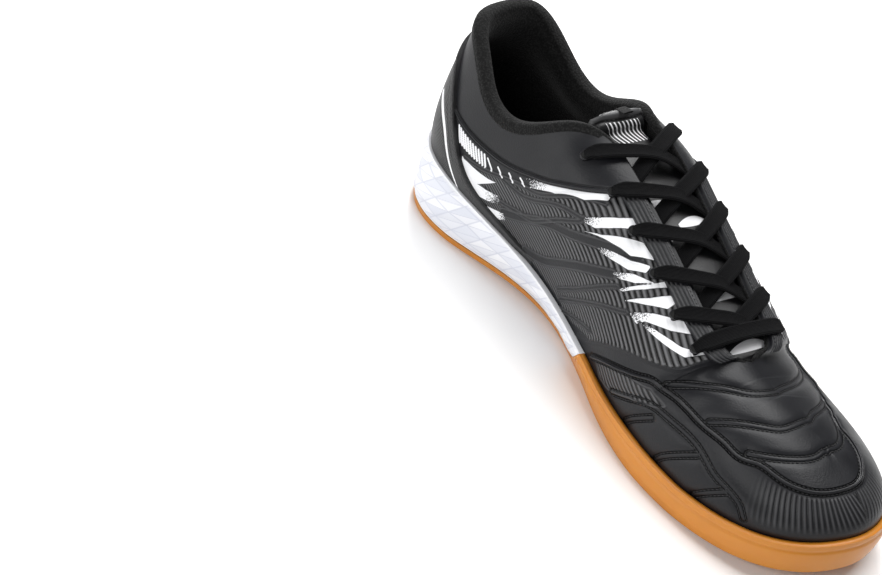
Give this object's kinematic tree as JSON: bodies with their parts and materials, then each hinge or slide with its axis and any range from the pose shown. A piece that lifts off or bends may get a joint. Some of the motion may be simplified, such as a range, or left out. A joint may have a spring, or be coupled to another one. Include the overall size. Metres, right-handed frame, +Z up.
{
  "type": "indoor soccer shoe",
  "caption": "Low-cut indoor soccer shoe with a gum rubber sole, white midsole, padded collar and flat laces.",
  "frame": {"origin": "on the floor, under the middle of the shoe's bounding box", "axes": "+X from heel to toe, +Y to the lateral side, +Z up"},
  "size_m": [0.2932, 0.1074, 0.1045],
  "materials": {
    "gum_rubber": "satin translucent gum rubber with a fine tread",
    "white_foam": "white moulded foam with shallow facets",
    "black_textile": "black knitted lining",
    "black_leather": "black satin synthetic leather with embossed ribs",
    "black_moulded": "black moulded overlay with fine ribs",
    "black_cord": "flat woven black lace"
  },
  "bodies": {
    "root": {"outsole": "gum_rubber", "midsole": "white_foam", "insole": "black_textile", "upper": "black_leather", "tongue": "black_leather", "heel_counter": "black_moulded", "eyestay_medial": "black_moulded", "eyestay_lateral": "black_moulded", "lace": "black_cord"}
  },
  "joints": []
}
